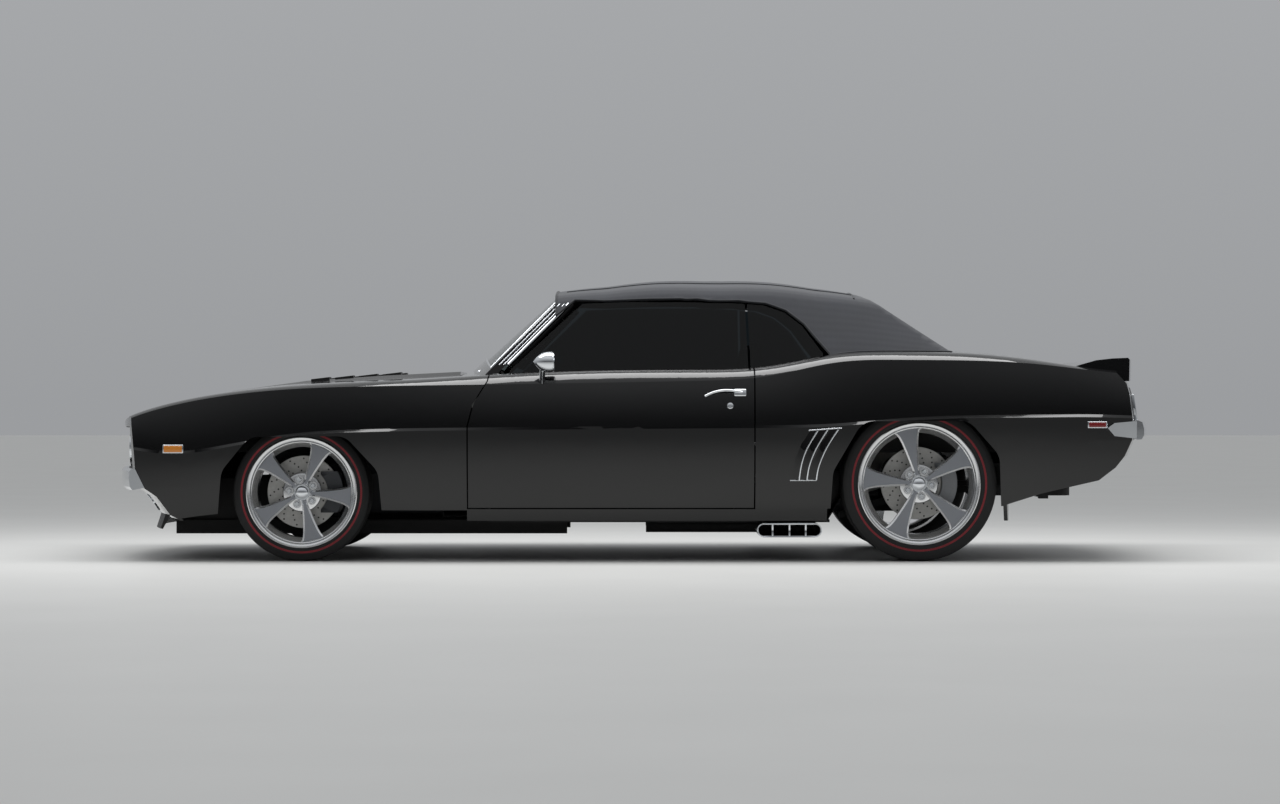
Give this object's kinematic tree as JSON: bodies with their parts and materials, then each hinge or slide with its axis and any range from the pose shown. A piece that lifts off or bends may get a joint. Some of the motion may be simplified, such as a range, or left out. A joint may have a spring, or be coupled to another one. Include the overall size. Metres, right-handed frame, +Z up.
{
  "type": "muscle car",
  "caption": "Two-door convertible muscle car with its cloth top up, long hood, short deck with a lip spoiler, side exhaust tips and five-spoke wheels; doors, lids and wheels move.",
  "frame": {"origin": "on the ground under the middle of the car's length and width", "axes": "+X towards the tail, -Y towards the driver's side that the picture shows, +Z up"},
  "size_m": [4.7156, 1.902, 1.2758],
  "materials": {
    "body_paint": "deep gloss black",
    "black_trim": "satin black",
    "bright_trim": "polished",
    "red_lens": "ribbed lens",
    "lamp_glass": "clear",
    "window_glass": "lightly tinted",
    "top_fabric": "coarse woven cloth",
    "seat_leather": "grained",
    "under_metal": "satin black",
    "engine_iron": "cast",
    "exhaust_steel": "polished tips",
    "wheel_alloy": "satin grey spokes, polished lip",
    "tyre_rubber": "matte, one red line on the side wall"
  },
  "bodies": {
    "car_body": {"chin_spoiler": "black_trim", "control_arms": "under_metal", "cowl": "body_paint", "dashboard": "black_trim", "engine": "engine_iron", "exhaust": "exhaust_steel", "fender_left": "body_paint", "fender_right": "body_paint", "floor_pan": "under_metal", "front_bumper": "bright_trim", "front_seats": "seat_leather", "front_valance": "body_paint", "fuel_tank": "under_metal", "grille": "black_trim", "headlamps": "lamp_glass", "nose_header": "body_paint", "quarter_glass": "window_glass", "quarter_left": "body_paint", "quarter_right": "body_paint", "radiator": "under_metal", "rear_axle": "under_metal", "rear_bumper": "bright_trim", "rear_deck": "body_paint", "rear_floor": "under_metal", "rear_seat": "seat_leather", "rear_valance": "body_paint", "rear_window": "window_glass", "screen_frame": "bright_trim", "sills": "body_paint", "soft_top": "top_fabric", "subframe": "under_metal", "tail_lamps": "red_lens", "tail_panel": "black_trim", "wheelhouses": "under_metal", "windscreen": "window_glass"},
    "hood_lid": {"hood": "body_paint", "hood_louvres": "black_trim"},
    "boot_lid": {"deck_lid": "body_paint"},
    "left_door": {"door_left": "body_paint", "door_glass_left": "window_glass", "door_fittings_left": "bright_trim"},
    "right_door": {"door_right": "body_paint", "door_glass_right": "window_glass", "door_fittings_right": "bright_trim"},
    "left_steering": {"knuckle_left": "under_metal"},
    "right_steering": {"knuckle_right": "under_metal"},
    "front_left_wheel": {"wheel_front_left": "wheel_alloy", "tyre_front_left": "tyre_rubber"},
    "front_right_wheel": {"wheel_front_right": "wheel_alloy", "tyre_front_right": "tyre_rubber"},
    "rear_left_wheel": {"wheel_rear_left": "wheel_alloy", "tyre_rear_left": "tyre_rubber"},
    "rear_right_wheel": {"wheel_rear_right": "wheel_alloy", "tyre_rear_right": "tyre_rubber"},
    "hand_wheel": {"steering_wheel": "black_trim"}
  },
  "joints": [
    {"name": "hood_hinge", "type": "hinge", "parent": "car_body", "child": "hood_lid", "pos_m": [-0.772, 0, 0.852], "axis": [0, 1, 0], "range_deg": [0, 50]},
    {"name": "boot_hinge", "type": "hinge", "parent": "car_body", "child": "boot_lid", "pos_m": [1.442, 0, 0.95], "axis": [0, -1, 0], "range_deg": [0, 60]},
    {"name": "left_door_hinge", "type": "hinge", "parent": "car_body", "child": "left_door", "pos_m": [-0.64, -0.93, 0.5], "axis": [0, 0, -1], "range_deg": [0, 62]},
    {"name": "right_door_hinge", "type": "hinge", "parent": "car_body", "child": "right_door", "pos_m": [-0.64, 0.93, 0.5], "axis": [0, 0, 1], "range_deg": [0, 62]},
    {"name": "steer_left", "type": "hinge", "parent": "car_body", "child": "left_steering", "pos_m": [-1.471, -0.685, 0.305], "axis": [0, 0, 1], "range_deg": [-30, 30]},
    {"name": "steer_right", "type": "hinge", "parent": "car_body", "child": "right_steering", "pos_m": [-1.471, 0.685, 0.305], "axis": [0, 0, 1], "range_deg": [-30, 30]},
    {"name": "front_left_spin", "type": "hinge", "parent": "left_steering", "child": "front_left_wheel", "pos_m": [-1.471, -0.745, 0.305], "axis": [0, 1, 0], "continuous": true},
    {"name": "front_right_spin", "type": "hinge", "parent": "right_steering", "child": "front_right_wheel", "pos_m": [-1.471, 0.745, 0.305], "axis": [0, 1, 0], "continuous": true},
    {"name": "rear_left_spin", "type": "hinge", "parent": "car_body", "child": "rear_left_wheel", "pos_m": [1.272, -0.742, 0.344], "axis": [0, 1, 0], "continuous": true},
    {"name": "rear_right_spin", "type": "hinge", "parent": "car_body", "child": "rear_right_wheel", "pos_m": [1.272, 0.742, 0.344], "axis": [0, 1, 0], "continuous": true},
    {"name": "hand_wheel_turn", "type": "hinge", "parent": "car_body", "child": "hand_wheel", "pos_m": [-0.44, -0.37, 0.602], "axis": [0.9, 0, 0.436], "range_deg": [-360, 360]}
  ],
  "couplings": [
    {"joint": "steer_right", "follows": "steer_left", "ratio": 1},
    {"joint": "hand_wheel_turn", "follows": "steer_left", "ratio": 12}
  ]
}
